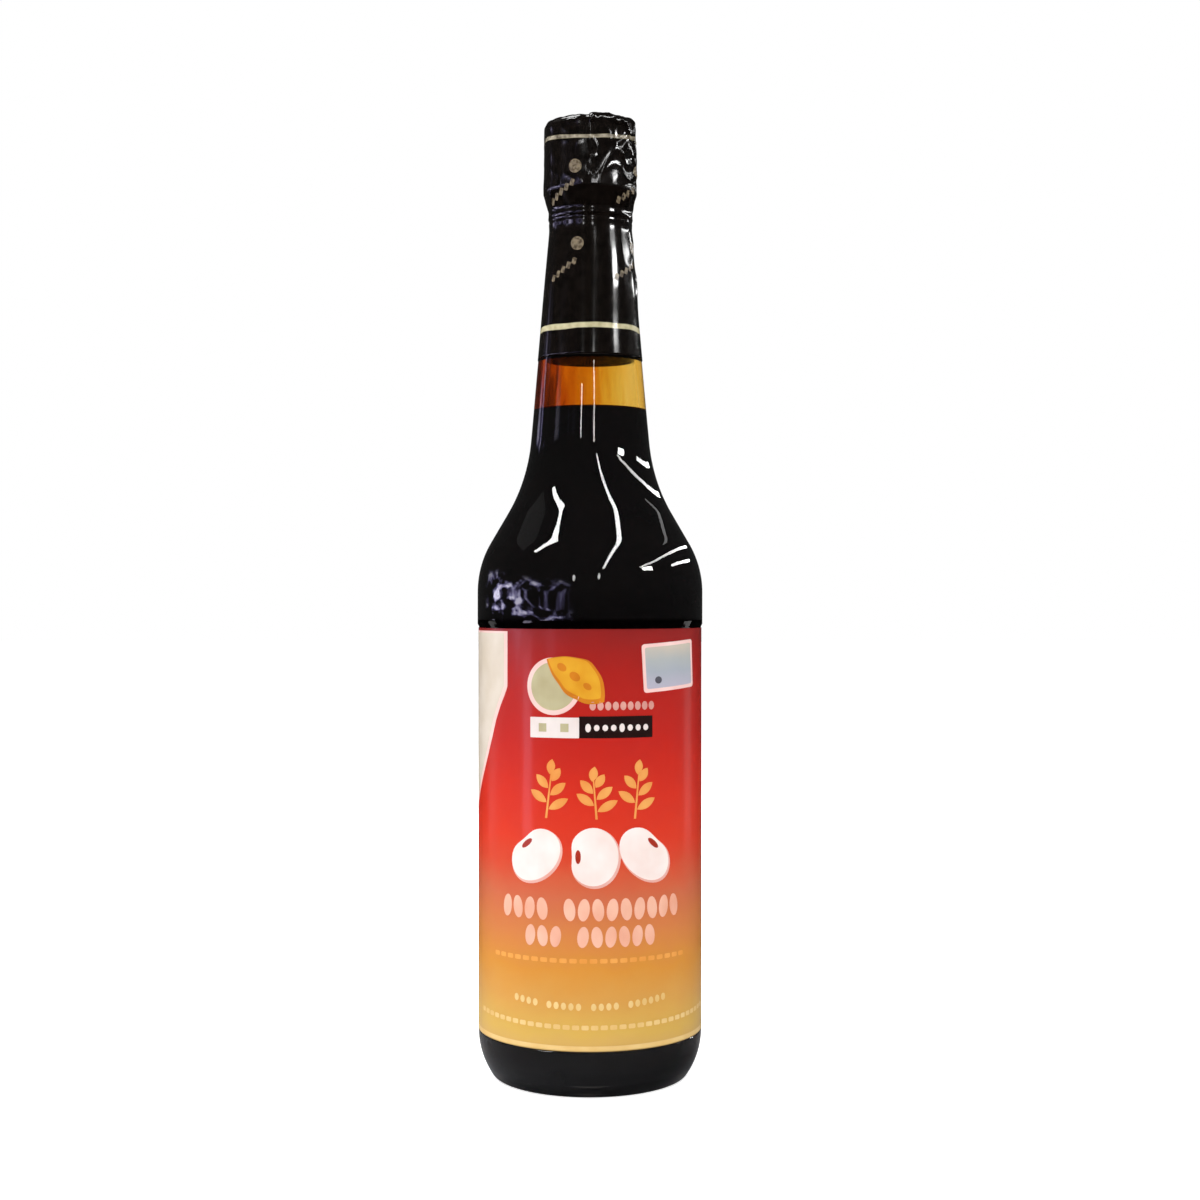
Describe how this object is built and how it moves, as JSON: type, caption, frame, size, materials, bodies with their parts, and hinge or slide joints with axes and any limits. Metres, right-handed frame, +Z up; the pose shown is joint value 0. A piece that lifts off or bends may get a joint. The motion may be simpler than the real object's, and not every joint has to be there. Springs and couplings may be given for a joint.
{
  "type": "soy sauce bottle",
  "caption": "Tall clear glass bottle of dark sauce with a long tapering neck, a screw cap under a black film capsule, a wraparound label and a small sticker.",
  "frame": {"origin": "centre of the base, on the surface that the bottle stands on", "axes": "+Z up along the bottle's axis; the front of the label faces -Y"},
  "size_m": [0.072, 0.072, 0.304],
  "materials": {
    "clear_glass": "polished, clear",
    "soy_sauce": "dark liquid, almost black",
    "cap_plastic": "moulded, black",
    "capsule_film": "shrunk film, glossy black with gold bands",
    "label_paper": "coated paper, red fading to golden yellow, printed with plain shapes",
    "sticker_paper": "coated sticker, pale with a pinkish border"
  },
  "bodies": {
    "root": {"bottle": "clear_glass", "sauce": "soy_sauce", "cap": "cap_plastic", "capsule": "capsule_film", "label": "label_paper", "sticker": "sticker_paper"}
  },
  "joints": []
}
